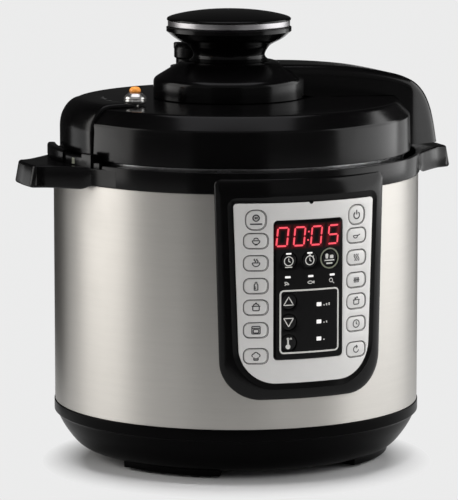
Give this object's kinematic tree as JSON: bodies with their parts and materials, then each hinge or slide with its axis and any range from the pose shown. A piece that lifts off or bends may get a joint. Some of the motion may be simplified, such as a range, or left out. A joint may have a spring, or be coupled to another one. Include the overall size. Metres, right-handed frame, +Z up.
{
  "type": "electric pressure cooker",
  "caption": "Free-standing round electric pressure cooker with stainless body, twist-lock lid, raised knob, steam valve, push-key control panel and lift-out pot.",
  "frame": {"origin": "on the table plane, under the middle of the outside box", "axes": "+Z up, -Y towards the side with the control panel, +X to the right seen from the front"},
  "size_m": [0.36, 0.3182, 0.355],
  "materials": {
    "black_plastic": "glossy black moulded plastic",
    "stainless": "brushed stainless steel sheet",
    "pressed_steel": "pressed steel",
    "aluminium": "cast or pressed aluminium",
    "chrome": "polished chrome",
    "foot_rubber": "soft black rubber",
    "silicone": "translucent white silicone",
    "silver_overlay": "silver satin film",
    "display_black": "smoked gloss window",
    "silver_key": "silver satin",
    "dark_key": "dark gloss",
    "orange_plastic": "orange plastic",
    "circuit_board": "green board",
    "brass": "nickel-free brass",
    "dark_plastic": "dark satin plastic",
    "pot_coating": "dark non-stick coated aluminium"
  },
  "bodies": {
    "base": {"base_housing": "black_plastic", "bottom_cover": "black_plastic", "foot_1": "foot_rubber", "foot_2": "foot_rubber", "foot_3": "foot_rubber", "foot_4": "foot_rubber", "outer_shell": "stainless", "collar": "black_plastic", "inner_housing": "pressed_steel", "locking_ring": "pressed_steel", "heating_plate": "aluminium", "heating_element": "pressed_steel", "spring_bar": "pressed_steel", "sensor_spring": "pressed_steel", "pressure_switch": "dark_plastic", "power_board": "circuit_board", "control_board": "circuit_board", "display_module": "dark_plastic", "panel_frame": "black_plastic", "panel_overlay": "silver_overlay", "display_window": "display_black", "power_inlet": "dark_plastic", "inlet_pin_1": "brass", "inlet_pin_2": "brass", "inlet_pin_3": "brass"},
    "sensor": {"sensor_button": "aluminium"},
    "drip_cup_body": {"drip_cup": "dark_plastic"},
    "pot": {"inner_pot": "pot_coating"},
    "seal": {"sealing_cover": "aluminium", "sealing_ring": "silicone"},
    "lid": {"lid_plate": "pressed_steel", "lid_cover": "black_plastic", "lid_arm": "black_plastic", "lid_bracket": "black_plastic", "knob_body": "black_plastic", "knob_band": "chrome", "knob_cap": "black_plastic"},
    "steam_valve_body": {"steam_valve": "black_plastic"},
    "float": {"float_valve": "pressed_steel", "float_cap": "orange_plastic"},
    "key_1_body": {"key_1": "silver_key"},
    "key_2_body": {"key_2": "silver_key"},
    "key_3_body": {"key_3": "silver_key"},
    "key_4_body": {"key_4": "silver_key"},
    "key_5_body": {"key_5": "silver_key"},
    "key_6_body": {"key_6": "silver_key"},
    "key_7_body": {"key_7": "silver_key"},
    "key_8_body": {"key_8": "silver_key"},
    "key_9_body": {"key_9": "silver_key"},
    "key_10_body": {"key_10": "silver_key"},
    "key_11_body": {"key_11": "silver_key"},
    "key_12_body": {"key_12": "silver_key"},
    "key_13_body": {"key_13": "silver_key"},
    "key_14_body": {"key_14": "silver_key"},
    "mode_key_1_body": {"mode_key_1": "dark_key"},
    "mode_key_2_body": {"mode_key_2": "dark_key"},
    "mode_key_3_body": {"mode_key_3": "dark_key"},
    "adjust_key_1_body": {"adjust_key_1": "dark_key"},
    "adjust_key_2_body": {"adjust_key_2": "dark_key"},
    "adjust_key_3_body": {"adjust_key_3": "dark_key"}
  },
  "joints": [
    {"name": "sensor_press", "type": "slide", "parent": "base", "child": "sensor", "axis": [0, 0, -1], "range_m": [0, 0.002], "stiffness_N_per_m": 800, "springref_m": -0.002, "deforming": ["sensor_spring"]},
    {"name": "drip_cup_slide", "type": "slide", "parent": "base", "child": "drip_cup_body", "axis": [0, 1, 0], "range_m": [0, 0.045]},
    {"name": "pot_lift", "type": "slide", "parent": "base", "child": "pot", "axis": [0, 0, 1], "range_m": [0, 0.192]},
    {"name": "lid_lift", "type": "slide", "parent": "pot", "child": "seal", "axis": [0, 0, 1], "range_m": [0, 0.12]},
    {"name": "lid_twist", "type": "hinge", "parent": "seal", "child": "lid", "pos_m": [0, -0.0089, 0.24], "axis": [0, 0, 1], "range_deg": [0, 30]},
    {"name": "steam_valve_turn", "type": "hinge", "parent": "lid", "child": "steam_valve_body", "pos_m": [-0.023, 0.0331, 0.31], "axis": [0, 0, 1], "range_deg": [0, 60]},
    {"name": "float_rise", "type": "slide", "parent": "lid", "child": "float", "axis": [0, 0, 1], "range_m": [0, 0.004]},
    {"name": "key_1_press", "type": "slide", "parent": "base", "child": "key_1_body", "axis": [0.277, 0.9609, 0], "range_m": [0, 0.0005], "stiffness_N_per_m": 2000},
    {"name": "key_2_press", "type": "slide", "parent": "base", "child": "key_2_body", "axis": [0.277, 0.9609, 0], "range_m": [0, 0.0005], "stiffness_N_per_m": 2000},
    {"name": "key_3_press", "type": "slide", "parent": "base", "child": "key_3_body", "axis": [0.277, 0.9609, 0], "range_m": [0, 0.0005], "stiffness_N_per_m": 2000},
    {"name": "key_4_press", "type": "slide", "parent": "base", "child": "key_4_body", "axis": [0.277, 0.9609, 0], "range_m": [0, 0.0005], "stiffness_N_per_m": 2000},
    {"name": "key_5_press", "type": "slide", "parent": "base", "child": "key_5_body", "axis": [0.277, 0.9609, 0], "range_m": [0, 0.0005], "stiffness_N_per_m": 2000},
    {"name": "key_6_press", "type": "slide", "parent": "base", "child": "key_6_body", "axis": [0.277, 0.9609, 0], "range_m": [0, 0.0005], "stiffness_N_per_m": 2000},
    {"name": "key_7_press", "type": "slide", "parent": "base", "child": "key_7_body", "axis": [0.277, 0.9609, 0], "range_m": [0, 0.0005], "stiffness_N_per_m": 2000},
    {"name": "key_8_press", "type": "slide", "parent": "base", "child": "key_8_body", "axis": [-0.277, 0.9609, 0], "range_m": [0, 0.0005], "stiffness_N_per_m": 2000},
    {"name": "key_9_press", "type": "slide", "parent": "base", "child": "key_9_body", "axis": [-0.277, 0.9609, 0], "range_m": [0, 0.0005], "stiffness_N_per_m": 2000},
    {"name": "key_10_press", "type": "slide", "parent": "base", "child": "key_10_body", "axis": [-0.277, 0.9609, 0], "range_m": [0, 0.0005], "stiffness_N_per_m": 2000},
    {"name": "key_11_press", "type": "slide", "parent": "base", "child": "key_11_body", "axis": [-0.277, 0.9609, 0], "range_m": [0, 0.0005], "stiffness_N_per_m": 2000},
    {"name": "key_12_press", "type": "slide", "parent": "base", "child": "key_12_body", "axis": [-0.277, 0.9609, 0], "range_m": [0, 0.0005], "stiffness_N_per_m": 2000},
    {"name": "key_13_press", "type": "slide", "parent": "base", "child": "key_13_body", "axis": [-0.277, 0.9609, 0], "range_m": [0, 0.0005], "stiffness_N_per_m": 2000},
    {"name": "key_14_press", "type": "slide", "parent": "base", "child": "key_14_body", "axis": [-0.277, 0.9609, 0], "range_m": [0, 0.0005], "stiffness_N_per_m": 2000},
    {"name": "mode_key_1_press", "type": "slide", "parent": "base", "child": "mode_key_1_body", "axis": [0.1119, 0.9937, 0], "range_m": [0, 0.0005], "stiffness_N_per_m": 2000},
    {"name": "mode_key_2_press", "type": "slide", "parent": "base", "child": "mode_key_2_body", "axis": [0, 1, 0], "range_m": [0, 0.0005], "stiffness_N_per_m": 2000},
    {"name": "mode_key_3_press", "type": "slide", "parent": "base", "child": "mode_key_3_body", "axis": [-0.1119, 0.9937, 0], "range_m": [0, 0.0005], "stiffness_N_per_m": 2000},
    {"name": "adjust_key_1_press", "type": "slide", "parent": "base", "child": "adjust_key_1_body", "axis": [0.1119, 0.9937, 0], "range_m": [0, 0.0005], "stiffness_N_per_m": 2000},
    {"name": "adjust_key_2_press", "type": "slide", "parent": "base", "child": "adjust_key_2_body", "axis": [0.1119, 0.9937, 0], "range_m": [0, 0.0005], "stiffness_N_per_m": 2000},
    {"name": "adjust_key_3_press", "type": "slide", "parent": "base", "child": "adjust_key_3_body", "axis": [0.1119, 0.9937, 0], "range_m": [0, 0.0005], "stiffness_N_per_m": 2000}
  ]
}
